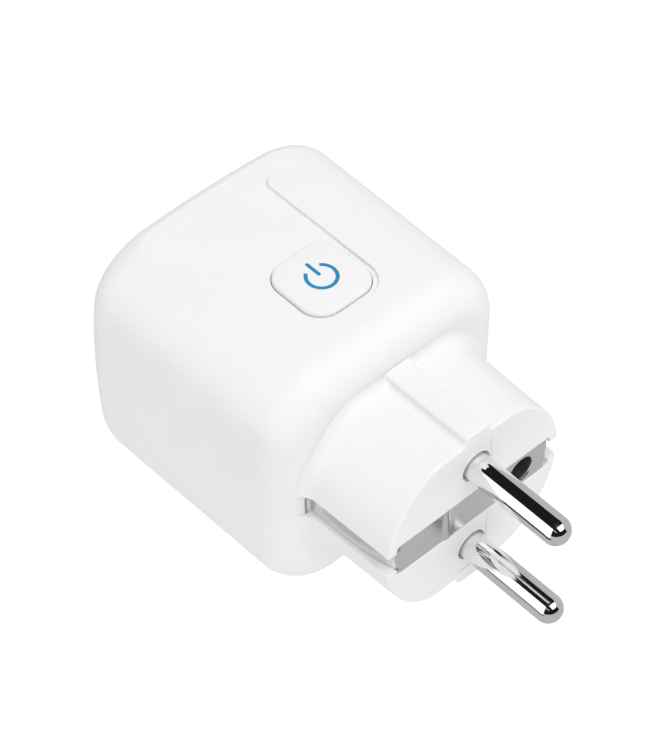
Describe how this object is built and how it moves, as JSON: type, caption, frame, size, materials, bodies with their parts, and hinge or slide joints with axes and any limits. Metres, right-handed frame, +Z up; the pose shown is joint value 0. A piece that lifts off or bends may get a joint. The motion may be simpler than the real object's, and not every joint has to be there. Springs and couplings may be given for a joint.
{
  "type": "plug-in power meter",
  "caption": "Plug-in mains power meter: round two-pin plug with earth strip behind, round recessed socket in front, push button with a power icon on top.",
  "frame": {"origin": "under the middle of the adapter's length, on the flat underside that it rests on", "axes": "+Y along the plug's pins, away from the socket; +Z up through the push button; +X to the right when looking along +Y"},
  "size_m": [0.048, 0.0836, 0.0481],
  "materials": {
    "white_plastic": "satin moulded",
    "nickel_plating": "polished nickel plate",
    "plated_steel": "bright plated sheet",
    "brass": "bright",
    "blue_icon": "translucent",
    "shutter_plastic": "moulded",
    "board_green": "solder mask",
    "relay_blue": "moulded",
    "film_yellow": "moulded",
    "chip_black": "moulded",
    "can_sleeve": "shrink sleeve",
    "ferrite": "sintered",
    "varistor_blue": "dipped coat",
    "resistor_coat": "lacquer",
    "manganin": "bare strip",
    "plunger_plastic": "moulded",
    "lamp_resin": "clear resin"
  },
  "bodies": {
    "adapter": {"housing_shell": "white_plastic", "plug_base": "white_plastic", "socket_panel": "white_plastic", "live_pin": "nickel_plating", "neutral_pin": "nickel_plating", "plug_earth_strip": "nickel_plating", "earth_sleeve": "brass", "earth_link": "plated_steel", "socket_earth_bracket": "plated_steel", "live_contact": "brass", "neutral_contact": "brass", "main_board": "board_green", "relay": "relay_blue", "film_capacitor": "film_yellow", "metering_chip": "chip_black", "power_chip": "chip_black", "bridge_rectifier": "chip_black", "electrolytic_capacitor": "can_sleeve", "power_inductor": "ferrite", "varistor": "varistor_blue", "fusible_resistor": "resistor_coat", "current_shunt": "manganin", "live_busbar": "brass", "neutral_busbar": "brass", "radio_board": "board_green", "radio_shield": "plated_steel", "button_board": "board_green", "switch_body": "chip_black", "status_lamp": "lamp_resin", "board_header": "chip_black", "panel_screw": "plated_steel", "base_screw_1": "plated_steel", "base_screw_2": "plated_steel", "base_screw_3": "plated_steel", "base_screw_4": "plated_steel"},
    "button": {"button_cap": "white_plastic", "icon_light_guide": "blue_icon"},
    "switch_plunger": {"switch_plunger": "plunger_plastic"},
    "shutter": {"shutter_rotor": "shutter_plastic", "shutter_spring": "plated_steel"}
  },
  "joints": [
    {"name": "button_press", "type": "slide", "parent": "adapter", "child": "button", "axis": [0, 0, -1], "range_m": [0, 0.0005], "stiffness_N_per_m": 800},
    {"name": "switch_press", "type": "slide", "parent": "adapter", "child": "switch_plunger", "axis": [0, 0, -1], "range_m": [0, 0.0005]},
    {"name": "shutter_turn", "type": "hinge", "parent": "adapter", "child": "shutter", "pos_m": [0, -0.01915, 0.024], "axis": [0, 1, 0], "range_deg": [0, 40], "stiffness_Nm_per_rad": 0.01}
  ],
  "couplings": [
    {"joint": "switch_press", "follows": "button_press", "ratio": 1}
  ]
}
